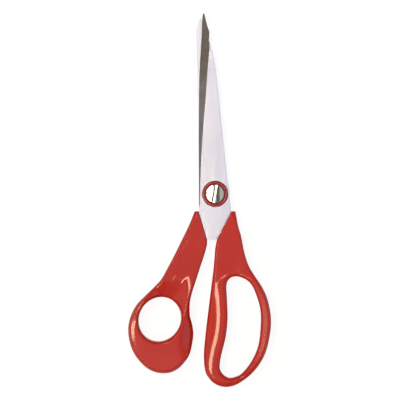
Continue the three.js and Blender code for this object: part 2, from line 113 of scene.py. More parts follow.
# Where the ray from a centre through a point crosses a closed run.
def crossing(run, centre, through):
    ray = through - centre
    ray = ray / np.linalg.norm(ray)
    starts = run - centre
    along = np.roll(run, -1, axis=0) - run
    across = ray[0] * along[:, 1] - ray[1] * along[:, 0]
    share = (starts[:, 0] * ray[1] - starts[:, 1] * ray[0]) / across
    reach = (starts[:, 0] * along[:, 1] - starts[:, 1] * along[:, 0]) / across
    good = (share >= 0) & (share <= 1) & (reach > 0)
    return centre + ray * reach[good][0]


# Natural cubic through rows of [value, place].
def cubicThrough(rows):
    places = np.array([row[1] for row in rows])
    values = np.array([row[0] for row in rows])
    gaps = np.diff(places)
    slopes = np.diff(values) / gaps
    count = len(rows)
    system = np.eye(count)
    target = np.zeros(count)
    for place in range(1, count - 1):
        before, after = gaps[place - 1:place + 1]
        system[place, place - 1:place + 2] = before, 2 * (before + after), after
        target[place] = 3 * (slopes[place] - slopes[place - 1])
    bends = np.linalg.solve(system, target)

    def valueAt(share):
        place = np.clip(np.searchsorted(places, share) - 1, 0, count - 2)
        step = share - places[place]
        gap = gaps[place]
        first = slopes[place] - gap * (2 * bends[place] + bends[place + 1]) / 3
        turning = step * (bends[place + 1] - bends[place]) / (3 * gap)
        return values[place] + step * (first + step * (bends[place] + turning))

    return valueAt


# Meshes

# Rings of points joined in order. Looped rings come back to the first, others are capped.
def ringPiece(name, rings, looped, slotOf=None, sharpSides=()):
    rings = np.array(rings) * mm + pivotPlace
    around = rings.shape[1]
    bm = bmesh.new()
    verts = [[bm.verts.new(point) for point in ring] for ring in rings]
    pairs = list(zip(verts, verts[1:])) + ([(verts[-1], verts[0])] if looped else [])
    for here, after in pairs:
        for side in range(around):
            other = (side + 1) % around
            face = bm.faces.new((here[side], here[other], after[other], after[side]))
            if slotOf is not None:
                face.material_index = slotOf[side]
    for side in sharpSides:
        for here, after in pairs:
            bm.edges.get((here[side], after[side])).smooth = False
    if not looped:
        bm.faces.new(verts[0])
        bm.faces.new(verts[-1])
    bmesh.ops.remove_doubles(bm, verts=bm.verts, dist=1e-8)
    bmesh.ops.recalc_face_normals(bm, faces=bm.faces)
    mesh = bpy.data.meshes.new(name)
    bm.to_mesh(mesh)
    bm.free()
    piece = bpy.data.objects.new(name, mesh)
    bpy.context.scene.collection.objects.link(piece)
    return piece


def turnedPiece(name, profile, steps=96):
    angles = [2 * math.pi * place / steps for place in range(steps)]
    rings = [[(r * math.cos(a), r * math.sin(a), z) for r, z in profile] for a in angles]
    return ringPiece(name, rings, True)


def keepModified(piece):
    bpy.context.view_layer.update()
    solved = piece.evaluated_get(bpy.context.evaluated_depsgraph_get())
    mesh = bpy.data.meshes.new_from_object(solved)
    piece.modifiers.clear()
    piece.data = mesh


def cutOut(piece, cutter):
    cut = piece.modifiers.new("cut", "BOOLEAN")
    cut.object = cutter
    cut.solver = "EXACT"
    keepModified(piece)
    bpy.data.objects.remove(cutter)


def breakEdges(piece, width, angle):
    soften = piece.modifiers.new("edgeBreak", "BEVEL")
    soften.width = width * mm
    soften.segments = 2
    soften.limit_method = "ANGLE"
    soften.angle_limit = math.radians(angle)
    keepModified(piece)


# Each corner of a flat section becomes a small facet of its own size, or less on a short side.
def brokenCorners(section, facets, most=0.4):
    section = np.array(section, float)
    corners = []
    neighbours = zip(np.roll(section, 1, axis=0), section, np.roll(section, -1, axis=0), facets)
    for before, here, after, size in neighbours:
        for other in (before, after):
            gap = np.linalg.norm(other - here)
            corners.append(here + (other - here) * min(size / gap, most))
    return corners


def shadeSmooth(piece, sharpAngle):
    for face in piece.data.polygons:
        face.use_smooth = True
    piece.data.set_sharp_from_angle(angle=math.radians(sharpAngle))


# Sharp edges wherever two material slots meet.
def sharpenBorders(piece):
    bm = bmesh.new()
    bm.from_mesh(piece.data)
    for edge in bm.edges:
        if len({face.material_index for face in edge.link_faces}) > 1:
            edge.smooth = False
    bm.to_mesh(piece.data)
    bm.free()


def dress(piece, body, slot, node, *materials):
    for material in materials:
        piece.data.materials.append(material)
    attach(piece, body)
    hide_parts(node)
    print("made", piece.name, len(piece.data.polygons), "faces")


# Finishes

# A colour as shown, 0 to 255, in linear light.
def linearColour(*shown):
    shares = [value / 255 for value in shown]
    return tuple(
        ((share + 0.055) / 1.055) ** 2.4 if share > 0.04 else share / 12.92 for share in shares)


def newGroup(name, inputs, outputs):
    group = bpy.data.node_groups.new(name, "ShaderNodeTree")
    for label, value in inputs.items():
        socket = group.interface.new_socket(label, in_out="INPUT", socket_type="NodeSocketFloat")
        socket.default_value = value
    for label in outputs:
        group.interface.new_socket(label, in_out="OUTPUT", socket_type="NodeSocketFloat")
    return group, group.nodes.new("NodeGroupInput"), group.nodes.new("NodeGroupOutput")


def addNoise(group, place, scale, detail, result):
    noise = group.nodes.new("ShaderNodeTexNoise")
    noise.inputs["Detail"].default_value = detail
    group.links.new(place, noise.inputs["Vector"])
    group.links.new(scale, noise.inputs["Scale"])
    group.links.new(noise.outputs["Fac"], result)


# Fine moulded grain and a slow drift, as two masks.
def makeMouldedSkin():
    group, given, out = newGroup(
        "mouldedSkin", {"Grain Scale": 2400, "Drift Scale": 45}, ["Grain", "Drift"])
    place = group.nodes.new("ShaderNodeTexCoord").outputs["Object"]
    for label, detail in (("Grain", 2), ("Drift", 3)):
        addNoise(group, place, given.outputs[label + " Scale"], detail, out.inputs[label])
    return group


# Long fine grinding lines along y when Turn is 0, with broader bands of the same run.
def makeGrindLines():
    group, given, out = newGroup(
        "grindLines", {"Line Scale": 2600, "Band Scale": 420, "Stretch": 0.012, "Turn": 0},
        ["Lines", "Bands"])
    place = group.nodes.new("ShaderNodeTexCoord")
    swing = group.nodes.new("ShaderNodeVectorRotate")
    swing.rotation_type = "Z_AXIS"
    group.links.new(place.outputs["Object"], swing.inputs["Vector"])
    group.links.new(given.outputs["Turn"], swing.inputs["Angle"])
    squeeze = group.nodes.new("ShaderNodeCombineXYZ")
    squeeze.inputs["X"].default_value = 1
    squeeze.inputs["Z"].default_value = 1
    group.links.new(given.outputs["Stretch"], squeeze.inputs["Y"])
    drawn = group.nodes.new("ShaderNodeVectorMath")
    drawn.operation = "MULTIPLY"
    group.links.new(swing.outputs["Vector"], drawn.inputs[0])
    group.links.new(squeeze.outputs["Vector"], drawn.inputs[1])
    for label, scale in (("Lines", "Line Scale"), ("Bands", "Band Scale")):
        addNoise(group, drawn.outputs["Vector"], given.outputs[scale], 3, out.inputs[label])
    return group


mouldedSkin = makeMouldedSkin()
grindLines = makeGrindLines()


def startMaterial(name, group, values):
    material = bpy.data.materials.new(name)
    material.use_nodes = True
    tree = material.node_tree
    pattern = tree.nodes.new("ShaderNodeGroup")
    pattern.node_tree = group
    for label, value in values.items():
        pattern.inputs[label].default_value = value
    return material, tree, pattern, tree.nodes["Principled BSDF"]


# Spreads a mask's middle over a range of values.
def spread(tree, mask, low, high, first, last):
    node = tree.nodes.new("ShaderNodeMapRange")
    for label, value in zip(("From Min", "From Max", "To Min", "To Max"), (low, high, first, last)):
        node.inputs[label].default_value = value
    tree.links.new(mask, node.inputs["Value"])
    return node.outputs["Result"]


def twoColours(tree, share, first, second):
    node = tree.nodes.new("ShaderNodeMix")
    node.data_type = "RGBA"
    node.inputs["A"].default_value = (*first, 1)
    node.inputs["B"].default_value = (*second, 1)
    tree.links.new(share, node.inputs["Factor"])
    return node.outputs["Result"]


def raised(tree, height, strength, distance):
    node = tree.nodes.new("ShaderNodeBump")
    node.inputs["Strength"].default_value = strength
    node.inputs["Distance"].default_value = distance * mm
    tree.links.new(height, node.inputs["Height"])
    return node.outputs["Normal"]


# A maths node over sockets and plain numbers.
def worked(tree, operation, *values):
    node = tree.nodes.new("ShaderNodeMath")
    node.operation = operation
    for value, given in zip(values, node.inputs):
        if isinstance(value, bpy.types.NodeSocket):
            tree.links.new(value, given)
        else:
            given.default_value = value
    return node.outputs["Value"]


finishes = {
    "skinMiddle": (0.35, 0.65),
    "lineMiddle": (0.3, 0.7),
    "roughnessStep": 0.02,
    "grainHeight": 0.02,
    "lineHeight": 0.01,
}


def mouldedPlastic(name, look):
    material, tree, skin, shader = startMaterial(name, mouldedSkin, {})
    drift = skin.outputs["Drift"]
    share = spread(tree, drift, *finishes["skinMiddle"], 0, 1)
    colour = twoColours(tree, share, look["colour"], look["paler"])
    rougher = look["roughness"] + finishes["roughnessStep"]
    rough = spread(tree, drift, *finishes["skinMiddle"], look["roughness"], rougher)
    grain = raised(tree, skin.outputs["Grain"], look["grain"], finishes["grainHeight"])
    tree.links.new(colour, shader.inputs["Base Color"])
    tree.links.new(rough, shader.inputs["Roughness"])
    tree.links.new(grain, shader.inputs["Normal"])
    shader.inputs["Specular IOR Level"].default_value = look["gloss"]
    return material


def groundMetal(name, look):
    material, tree, lines, shader = startMaterial(name, grindLines, look["lines"])
    share = spread(tree, lines.outputs["Bands"], *finishes["lineMiddle"], 0, 1)
    colour = twoColours(tree, share, look["colour"], look["paler"])
    smoother = look["roughness"] - finishes["roughnessStep"]
    rougher = look["roughness"] + finishes["roughnessStep"]
    rough = spread(tree, lines.outputs["Lines"], *finishes["lineMiddle"], smoother, rougher)
    ground = raised(tree, lines.outputs["Lines"], look["depth"], finishes["lineHeight"])
    tree.links.new(colour, shader.inputs["Base Color"])
    tree.links.new(rough, shader.inputs["Roughness"])
    tree.links.new(ground, shader.inputs["Normal"])
    shader.inputs["Metallic"].default_value = 1
    return material


handleRed = mouldedPlastic("handleRed", {
    "colour": linearColour(197, 44, 27),
    "paler": linearColour(201, 47, 30),
    "roughness": 0.095,
    "grain": 0.06,
    "gloss": 0.5,
})
bushRed = mouldedPlastic("bushRed", {
    "colour": linearColour(152, 38, 42),
    "paler": linearColour(158, 42, 44),
    "roughness": 0.16,
    "grain": 0.1,
    "gloss": 0.5,
})
bladeSteel = groundMetal("bladeSteel", {
    "colour": linearColour(246, 240, 248),
    "paler": linearColour(251, 245, 252),
    "roughness": 0.15,
    "depth": 0.06,
    "lines": {"Turn": 0},
})
# The ground bevel's steel. The grinding lines across it are its own, and its dark base colour is
# painted shade standing in for the dark reflection on the bevel.
groundSteelPaintedShade = groundMetal("groundSteelPaintedShade", {
    "colour": linearColour(141, 129, 119),
    "paler": linearColour(157, 145, 134),
    "roughness": 0.17,
    "depth": 0.12,
    "lines": {"Turn": math.radians(70), "Stretch": 0.05},
})
screwSteel = groundMetal("screwSteel", {
    "colour": linearColour(222, 222, 224),
    "paler": linearColour(232, 232, 234),
    "roughness": 0.1,
    "depth": 0.04,
    "lines": {"Turn": math.radians(30), "Stretch": 0.1},
})
# The screw's slot faces are milled, so rougher than the head. Their paler base colour is a painted
# highlight.
slotSteelPaintedHighlight = groundMetal("slotSteelPaintedHighlight", {
    "colour": linearColour(240, 238, 238),
    "paler": linearColour(246, 244, 244),
    "roughness": 0.24,
    "depth": 0.1,
    "lines": {"Turn": math.radians(80), "Stretch": 0.1},
})
print("finishes ready")


# Blades

# Rows of [across, along] are shares of the breadth and the reach.
blade = {
    "reach": 102.8,
    "breadth": 18,
    "tipThickness": 1.3,
    "taperStart": 18,
    "edgeLand": 0.25,
    "bevelSlope": 0.85,
    "spineChamfer": 0.6,
    "chamferFade": (88, 94),
    "shoulderDrop": 9.9,
    "throatDrop": 26.5,
    "throatBreadth": 4.8,
    "throatOffset": 1.8,
    "bevelEnd": -0.061,
    "runOut": 2.6,
    "bevelRise": 1,
    "rootCurve": 0.6,
    "leastBevel": 0.12,
    "leastChamfer": 0.1,
    "chamferBreadthShare": 0.3,
    "chamferDepthShare": 0.4,
    "crestMargin": 1.1,
    "throatStations": 12,
    "runOutStations": 9,
    "stations": 170,
    "edgeBreak": 0.06,
    "crestBreak": 0.008,
    "bevelSide": 3,  # the ground one of a section's sides
    "borerMargin": 4,
    "sharpAngle": 4,
    "bevelWidths": [
        [0.03, -0.061], [0.036, -0.034], [0.056, 0.099], [0.111, 0.276], [0.183, 0.454],
        [0.222, 0.543], [0.247, 0.631], [0.272, 0.72], [0.275, 0.83], [0.25, 0.904], [0.23, 1]],
}
frontBlade = {
    "spine": [
        [0.503, -0.061], [0.439, 0.021], [0.393, 0.099], [0.289, 0.276], [0.181, 0.454],
        [0.133, 0.543], [0.078, 0.631], [0.011, 0.72], [-0.067, 0.787], [-0.139, 0.842],
        [-0.183, 0.904], [-0.225, 0.925], [-0.285, 0.964], [-0.335, 1]],
    "edge": [
        [-0.512, -0.061], [-0.517, 0.099], [-0.522, 0.276], [-0.519, 0.454], [-0.509, 0.584],
        [-0.484, 0.72], [-0.433, 0.865], [-0.417, 0.934], [-0.392, 1]],
    "throatMiddle": -1.8,
    "rootTo": -12.4,
}
rearBlade = {
    "spine": [
        [0.511, -0.061], [0.505, 0.021], [0.5, 0.099], [0.505, 0.276], [0.528, 0.454],
        [0.556, 0.543], [0.556, 0.631], [0.572, 0.72], [0.578, 0.77], [0.6, 0.865],
        [0.583, 0.925], [0.556, 0.942], [0.494, 0.964], [0.4, 0.986], [0.368, 1]],
    "edge": [
        [-0.461, -0.061], [-0.456, 0.021], [-0.378, 0.099], [-0.272, 0.276], [-0.133, 0.454],
        [-0.017, 0.584], [0.106, 0.72], [0.261, 0.865], [0.333, 0.934], [0.36, 1]],
    "throatMiddle": 1.8,
    "rootTo": -11.4,
}


# One blade as sections across it, from the lower edge between the handles to the tip.
# It is made with its outer face up and its spine on the right.
def makeBlade(name, shape, flipped):
    spineAt = cubicThrough(shape["spine"])
    edgeAt = cubicThrough(shape["edge"])
    bevelAt = cubicThrough(blade["bevelWidths"])
    bevelFoot = blade["bevelEnd"] * blade["reach"]
    half = blade["breadth"] / 2
    below = np.linspace(-blade["throatDrop"], -blade["shoulderDrop"], blade["throatStations"])
    runOut = np.linspace(-blade["shoulderDrop"], bevelFoot, blade["runOutStations"])[1:-1]
    above = np.linspace(bevelFoot, blade["reach"], blade["stations"])
    rings = []
    for y in np.concatenate([below, runOut, above]):
        tapered = (y - blade["taperStart"]) / (blade["reach"] - blade["taperStart"])
        top = mix(pivotFit["bladeThickness"], blade["tipThickness"], np.clip(tapered, 0, 1))
        share = max(y / blade["reach"], blade["bevelEnd"])
        edge = edgeAt(share) * blade["breadth"]
        spine = spineAt(share) * blade["breadth"]
        ground = smoothStep(y, bevelFoot - blade["runOut"], bevelFoot + blade["bevelRise"])
        chamfer = blade["spineChamfer"] * smoothStep(y, bevelFoot - blade["runOut"], bevelFoot)
        chamfer *= 1 - smoothStep(y, *blade["chamferFade"])
        if y < bevelFoot:
            down = (bevelFoot - y) / (blade["shoulderDrop"] + bevelFoot)
            edge = mix(edge, -half, min(down, 1))
            spine = mix(spine, half, min(down, 1))
        if y < -blade["shoulderDrop"]:
            down = (-blade["shoulderDrop"] - y) / (blade["throatDrop"] - blade["shoulderDrop"])
            edge = mix(-half, shape["rootTo"], down ** blade["rootCurve"])
            spine = mix(half, shape["throatMiddle"] + blade["throatBreadth"] / 2, down)
        bevel = mix(blade["leastBevel"], bevelAt(share) * blade["breadth"], ground)
        foot = max(blade["edgeLand"], top - bevel * blade["bevelSlope"])
        low = mix(top - blade["leastBevel"], foot, ground)
        chamfer = max(chamfer, blade["leastChamfer"])
        chamfer = min(chamfer, (spine - edge) * blade["chamferBreadthShare"])
        crest = min(edge + bevel, spine - chamfer * blade["crestMargin"])
        top = low + (top - low) * (crest - edge) / bevel  # the bevel runs out over the spine
        side = top - min(chamfer, top * blade["chamferDepthShare"])
        section = [
            (edge, y, 0), (edge, y, low), (crest, y, top), (spine - chamfer, y, top),
            (spine, y, side), (spine, y, 0)]
        facets = [blade["edgeBreak"]] * 2 + [blade["crestBreak"]] + [blade["edgeBreak"]] * 3
        rings.append(brokenCorners(section, facets))
    rings = np.array(rings)
    rings[:, :, 2] += pivotFit["bladeGap"] / 2
    if flipped:
        rings[:, :, (0, 2)] *= -1
    # the bevel side takes the ground steel, whose dark base colour is painted shade
    groundSides = [0] * rings.shape[1]
    groundSides[blade["bevelSide"]] = 1
    piece = ringPiece(name, rings, False, slotOf=groundSides)
    piece.data.materials.append(bladeSteel)
    piece.data.materials.append(groundSteelPaintedShade)
    bore = pivotFit["sleeveRadius"] + pivotFit["runningClearance"]
    tall = pivotFit["bladeThickness"] * 2 + blade["borerMargin"]
    cutOut(piece, turnedPiece("borer", [(0, -tall), (bore, -tall), (bore, tall), (0, tall)]))
    shadeSmooth(piece, blade["sharpAngle"])
    return piece


dress(makeBlade("thumbBlade", frontBlade, False), "thumb_half", "blade_steel", "thumb_blade")
dress(makeBlade("fingerBlade", rearBlade, True), "finger_half", "blade_steel", "finger_blade")


# Handles

# Rows of [across, along] are in gauges.
handle = {
    "shoulderWidth": 2.3,
    "neckDepth": 9.2,
    "neckEdgeRadius": 1.1,
    "throatEdgeRadius": 0.7,
    "edgeStop": 0.15,
    "edgeTurn": 0.7,
    "seamShare": 0.77,
    "throatWallShare": 0.78,
    "barShare": 0.75,
    "seamGroove": 0.12,
    "seamLipShare": 0.5,
    "outlineSteps": 400,
    "holeSteps": 240,
    "throatSteps": 24,
    "edgeSteps": 14,
    "creaseShares": 81,
    "creaseSteps": (0.004, 0.001),
    "creaseTries": 9,
    "sharpAngle": 32,
}
fingerHandle = {
    "centre": (14.2, -74.7),
    "loopDepth": 14.4,
    "neckEnd": 30,
    "loopStart": 66,
    "outerRadius": 2.4,
    "farRadius": 1.7,
    "holeRadius": 1.9,
    "farHoleRadius": 1.4,
    "topSteps": 60,
    "crest": 4.2,
    "leanSlope": 0.045,
    "leanCurve": 0.028,
    "rollFrom": (0.43, 0.6),
    "farFrom": (-0.35, 0.6),
    # round the upper left of the hole: [distance from it, bearing, drop]
    "arc": [
        [1.9, 90, 0], [1.95, 94, 0.08], [2.05, 99.5, 0.12], [3.3, 109, 0.09], [5.2, 118, 0.05],
        [6.1, 124, 0]],
    "arcWidth": 0.9,
    "arcReturn": 9,
    "farLeanSlope": 0.06,
    "farLeanFrom": 1.9,
    "outer": [
        [0.133, -0.188], [0.148, -0.238], [0.162, -0.311], [0.177, -0.369], [0.197, -0.42],
        [0.224, -0.464], [0.271, -0.536], [0.3, -0.605], [0.3186, -0.712], [0.311, -0.811],
        [0.28, -0.922], [0.219, -1.013], [0.143, -1.074], [0.101, -1.0935], [0.059, -1.0994],
        [0.021, -1.092], [-0.013, -1.073], [-0.036, -1.048], [-0.054, -1.017], [-0.064, -0.93],
        [-0.056, -0.815], [-0.04, -0.678], [-0.024, -0.548], [-0.009, -0.428], [-0.003, -0.362],
        [0.001, -0.311]],
    "hole": [
        [0.123, -0.47], [0.09, -0.477], [0.0725, -0.494], [0.065, -0.518], [0.068, -0.605],
        [0.071, -0.712], [0.06, -0.815], [0.035, -0.918], [0.027, -0.964], [0.027, -0.996],
        [0.037, -1.018], [0.056, -1.038], [0.086, -1.049], [0.116, -1.043], [0.146, -1.029],
        [0.202, -0.963], [0.243, -0.875], [0.259, -0.769], [0.257, -0.655], [0.225, -0.551],
        [0.207, -0.518], [0.186, -0.495], [0.157, -0.479]],
}
thumbHandle = {
    "centre": (-31.5, -71.4),
    "holeLength": 25.8,
    "holeBreadth": 23.6,
    "holeTurn": 61,
    "loopDepth": 18,
    "neckEnd": 30,
    "loopStart": 66,
    "outerRadius": 1.8,
    "holeRadius": 1.6,
    "leanSlope": 0.156,
    "leanWidth": 3.6,
    "leanBearing": 168,
    "leanPower": 5,
    "topSteps": 140,
    "funnelTop": 46,
    "funnelStart": 14,
    "funnelSlope": 1.12,
    "funnelBearing": 78,
    "funnelSpread": 24,
    "funnelOpening": (-25, 30),
    "flankSlope": 1.0,
    "flankStep": 0.7,
    "flankSoftness": 0.75,
    "ridgeSoftness": 0.45,
    "wallDepthShare": 0.8,
    # along the ridge: [across, along, slope of the wall on its right]
    "ridge": [
        [-0.166, -0.47, 0], [-0.156, -0.55, 0], [-0.158, -0.6, 0.35], [-0.165, -0.65, 0.72],
        [-0.179, -0.715, 0.85], [-0.186, -0.776, 0.87], [-0.191, -0.833, 0.85],
        [-0.19, -0.88, 0.65], [-0.183, -0.92, 0.25], [-0.17, -0.96, 0]],
    "outer": [
        [-0.046, -0.288], [-0.062, -0.349], [-0.086, -0.421], [-0.11, -0.496], [-0.131, -0.561],
        [-0.143, -0.616], [-0.145, -0.661], [-0.143, -0.697], [-0.131, -0.743], [-0.124, -0.797],
        [-0.131, -0.856], [-0.145, -0.911], [-0.172, -0.956], [-0.208, -0.993], [-0.249, -1.015],
        [-0.29, -1.021], [-0.331, -1.017], [-0.376, -0.999], [-0.417, -0.966], [-0.454, -0.92],
        [-0.477, -0.874], [-0.49, -0.825], [-0.495, -0.77], [-0.488, -0.72], [-0.472, -0.675],
        [-0.445, -0.629], [-0.399, -0.581], [-0.345, -0.529], [-0.308, -0.488], [-0.27, -0.421],
        [-0.238, -0.361], [-0.194, -0.272], [-0.15, -0.181]],
}


# The share of a height that a rounded edge leaves, at a ratio of its breadth. The edge starts
# with a small crease and stops short of upright.
def edgeRound(ratio, upright):
    first, last = [math.sqrt(1 - (1 - handle[label]) ** 2) for label in ("edgeStop", "edgeTurn")]
    inside = mix(handle["edgeStop"], handle["edgeTurn"], np.clip(ratio, 0, 1))
    return mix(upright, 1, (np.sqrt(1 - (1 - inside) ** 2) - first) / (last - first))


# From the outer corner of a handle's flat upper end down the slanted edge to the throat.
def throatRun(side):
    corner = blade["breadth"] / 2 + pivotFit["seatClearance"]
    top = np.array([side * corner, -blade["shoulderDrop"]])
    reach = -side * blade["throatOffset"] + blade["throatBreadth"] / 2 + pivotFit["seatClearance"]
    bottom = np.array([side * reach, -blade["throatDrop"]])
    steps = handle["throatSteps"]
    slant = [mix(top, bottom, step / steps) for step in range(steps + 1)]
    return np.array([top + (side * handle["shoulderWidth"], 0)] + slant)


def loopShare(points, shape):
    return smoothStep(-points[:, 1], shape["neckEnd"], shape["loopStart"])


# A value that starts softly to rise at zero.
def softRise(value, softness):
    return softness * np.logaddexp(0, value / softness)


# Half the depth of the finger handle before its edges are rounded, and its outer radius.
# The near bar, on the left, rolls away from a crest beside the hole. The far bar leans in.
# A low step follows the hole round its upper left.
def fingerForm(points, toHole, toOutline, bearing):
    shape = fingerHandle
    grown = loopShare(points, shape)
    near = smoothStep(-np.cos(bearing), *shape["rollFrom"])
    far = smoothStep(np.cos(bearing), *shape["farFrom"])
    fromCrest = np.maximum(0, toHole - shape["crest"])
    roll = near * fromCrest * (shape["leanSlope"] + shape["leanCurve"] * fromCrest)
    leanIn = far * shape["farLeanSlope"] * np.maximum(0, toOutline - shape["farLeanFrom"])
    height = mix(handle["neckDepth"], shape["loopDepth"], grown) / 2 - (roll + leanIn) * grown
    places, turns, drops = zip(*shape["arc"])
    start = np.interp(np.degrees(bearing), turns, places) - shape["arcWidth"] / 2
    drop = np.interp(np.degrees(bearing), turns, drops)
    end = start + shape["arcWidth"]
    step = smoothStep(toHole, start, end) - smoothStep(toHole, end, end + shape["arcReturn"])
    loopRadius = mix(shape["outerRadius"], shape["farRadius"], far)
    return height - drop * step, mix(handle["neckEdgeRadius"], loopRadius, grown)


def fingerHoleRadius(bearing):
    shape = fingerHandle
    far = smoothStep(np.cos(bearing), *shape["farFrom"])
    return mix(shape["holeRadius"], shape["farHoleRadius"], far)


# The thumb handle has a ridge down beside its hole. To the ridge's right a wall falls away,
# and to its left a funnel runs down into the hole.
def thumbForm(points, toHole, toOutline, bearing):
    shape = thumbHandle
    grown = loopShare(points, shape)
    turned = bearing - math.radians(shape["leanBearing"])
    facing = np.maximum(0, np.cos(turned)) ** shape["leanPower"]
    lean = shape["leanSlope"] * facing * np.maximum(0, shape["leanWidth"] - toOutline)
    height = mix(handle["neckDepth"], shape["loopDepth"], grown) / 2 - lean * grown
    ridge = shape["ridge"][::-1]
    along = np.clip(points[:, 1] / gauge, ridge[0][1], ridge[-1][1])
    beyond = points[:, 0] - cubicThrough([row[:2] for row in ridge])(along) * gauge
    steep = np.interp(along, [row[1] for row in ridge], [row[2] for row in ridge])
    turn = np.maximum(0, np.degrees(bearing) - shape["funnelBearing"]) / shape["funnelSpread"]
    opening = np.exp(-turn ** 2) * smoothStep(np.degrees(bearing), *shape["funnelOpening"])
    run = np.maximum(0, -points[:, 1] - shape["funnelTop"])
    floor = shape["funnelSlope"] * opening * run ** 2 / (run + shape["funnelStart"])
    flank = shape["flankSlope"] * softRise(-beyond - shape["flankStep"], shape["flankSoftness"])
    height = height - floor * flank / np.hypot(floor, flank)
    fall = softRise(beyond, shape["ridgeSoftness"]) * steep
    wall = np.minimum(fall, height * shape["wallDepthShare"])
    return height - wall, mix(handle["neckEdgeRadius"], shape["outerRadius"], grown)


def thumbHoleRadius(bearing):
    return np.full_like(bearing, thumbHandle["holeRadius"])


# Where a ratio along each section first reaches one.
def creaseShares(ratio, shares):
    rows = np.arange(len(ratio))
    place = np.maximum(np.argmax(ratio >= 1, axis=1), 1)
    before = ratio[rows, place - 1]
    part = np.clip((1 - before) / (ratio[rows, place] - before), 0, 1)
    return mix(shares[place - 1], shares[place], part)[:, None]


# A handle as sections from its hole out to its outline, over the front and back under the rear.
# The rounded edges start on lines of their own, which stay sharp.
def makeHandle(name, shape, loop, throat, hole, form, holeRadius):
    centre = np.array(shape["centre"])
    outer = np.vstack([loop, throat[1:-1]])
    starts = np.array([crossing(hole, centre, end) for end in outer])
    width = np.linalg.norm(outer - starts, axis=1)[:, None]
    closedHole = np.vstack([hole, hole[:1]])

    def measured(shares):
        points = starts[:, None] + (outer - starts)[:, None] * shares[:, :, None]
        flat = points.reshape(-1, 2)
        toHole = distanceTo(closedHole, flat)
        toOutline = distanceTo(loop, flat)
        bearing = np.arctan2(flat[:, 1] - centre[1], flat[:, 0] - centre[0])
        height, outerRadius = form(flat, toHole, toOutline, bearing)
        most = np.repeat(width * handle["barShare"], shares.shape[1])
        ratios = [
            toHole / np.minimum(holeRadius(bearing), most),
            toOutline / np.minimum(outerRadius, most),
            distanceTo(throat, flat) / handle["throatEdgeRadius"]]
        return points, height, [ratio.reshape(shares.shape) for ratio in ratios]

    rough = (1 - np.cos(np.linspace(0, math.pi, handle["creaseShares"]))) / 2
    atHole, atLoop, atThroat = measured(np.tile(rough, (len(outer), 1)))[2]
    holeCrease = creaseShares(atHole, rough)
    outerCrease = 1 - creaseShares(np.minimum(atLoop, atThroat)[:, ::-1], 1 - rough[::-1])
    tries = handle["creaseTries"]
    for step in handle["creaseSteps"]:  # closer and closer round the first finding
        around = np.linspace(-step, step, tries)
        tried = np.hstack([holeCrease + around, outerCrease + around])
        atHole, atLoop, atThroat = measured(tried)[2]
        nearest = np.abs(atHole[:, :tries] - 1).argmin(axis=1)
        holeCrease = holeCrease + around[nearest][:, None]
        nearest = np.abs(np.minimum(atLoop, atThroat)[:, tries:] - 1).argmin(axis=1)
        outerCrease = outerCrease + around[nearest][:, None]
    even = np.linspace(0, 1, handle["edgeSteps"] + 1)
    shares = np.hstack([
        holeCrease * (1 - np.cos(even * math.pi / 2)),
        mix(holeCrease, outerCrease, np.linspace(0, 1, shape["topSteps"] + 1)[1:-1]),
        mix(outerCrease, 1, np.sin(even * math.pi / 2))])
    points, height, ratios = measured(shares)
    walls = (handle["seamShare"], handle["seamShare"], handle["throatWallShare"])
    for ratio, wall in zip(ratios, walls):
        height = height * edgeRound(ratio.ravel(), wall)
    front = np.dstack([points, height.reshape(points.shape[:2])])
    rear = front[:, ::-1] * (1, 1, -1)
    inward = (starts - outer) / width * handle["seamGroove"]
    outerSeam = np.dstack([(outer + inward)[:, None], np.zeros((len(outer), 1))])
    holeSeam = np.dstack([(starts - inward)[:, None], np.zeros((len(outer), 1))])
    lip = np.array([1, 1, 0])

    # a strip over the seam, at the given edge's place, in front (1) or at the rear (-1)
    def beside(edge, side):
        strip = edge * lip
        most = np.abs(edge[:, :, 2]) * handle["seamLipShare"]
        strip[:, :, 2] = side * np.minimum(handle["seamGroove"], most)
        return strip

    outerEdge, holeEdge = front[:, -1:], front[:, :1]
    rings = np.concatenate([
        front, beside(outerEdge, 1), outerSeam, beside(outerEdge, -1),
        rear, beside(holeEdge, -1), holeSeam, beside(holeEdge, 1)], axis=1)
    count = front.shape[1]
    creases = {handle["edgeSteps"], count - 1 - handle["edgeSteps"]}
    # the rear's run back, after the seam's three points
    creases |= {count + 2 + count - place for place in creases}
    piece = ringPiece(name, rings, True, sharpSides=creases)
    shadeSmooth(piece, handle["sharpAngle"])
    return piece


def inGauge(rows):
    return np.array(rows) * gauge


def makeFingerHandle():
    throat = throatRun(1)
    rows = np.vstack([throat[:1], inGauge(fingerHandle["outer"]), throat[-1:]])
    loop = smoothRun(rows, False, handle["outlineSteps"])
    hole = smoothRun(inGauge(fingerHandle["hole"]), True, handle["holeSteps"])
    return makeHandle(
        "fingerHandle", fingerHandle, loop, throat[::-1], hole, fingerForm, fingerHoleRadius)


def makeThumbHandle():
    throat = throatRun(-1)
    rows = np.vstack([throat[-1:], inGauge(thumbHandle["outer"]), throat[:1]])
    loop = smoothRun(rows, False, handle["outlineSteps"])
    angles = np.linspace(0, 2 * math.pi, handle["holeSteps"], endpoint=False)
    halves = np.array([thumbHandle["holeLength"], thumbHandle["holeBreadth"]]) / 2
    turn = math.radians(thumbHandle["holeTurn"])
    axes = np.array([[math.cos(turn), math.sin(turn)], [-math.sin(turn), math.cos(turn)]])
    circle = np.stack([np.cos(angles), np.sin(angles)], axis=1)
    hole = thumbHandle["centre"] + circle * halves @ axes
    return makeHandle("thumbHandle", thumbHandle, loop, throat, hole, thumbForm, thumbHoleRadius)


dress(makeFingerHandle(), "finger_half", "handle_plastic", "finger_handle", handleRed)
dress(makeThumbHandle(), "thumb_half", "handle_plastic", "thumb_handle", handleRed)


# Pivot

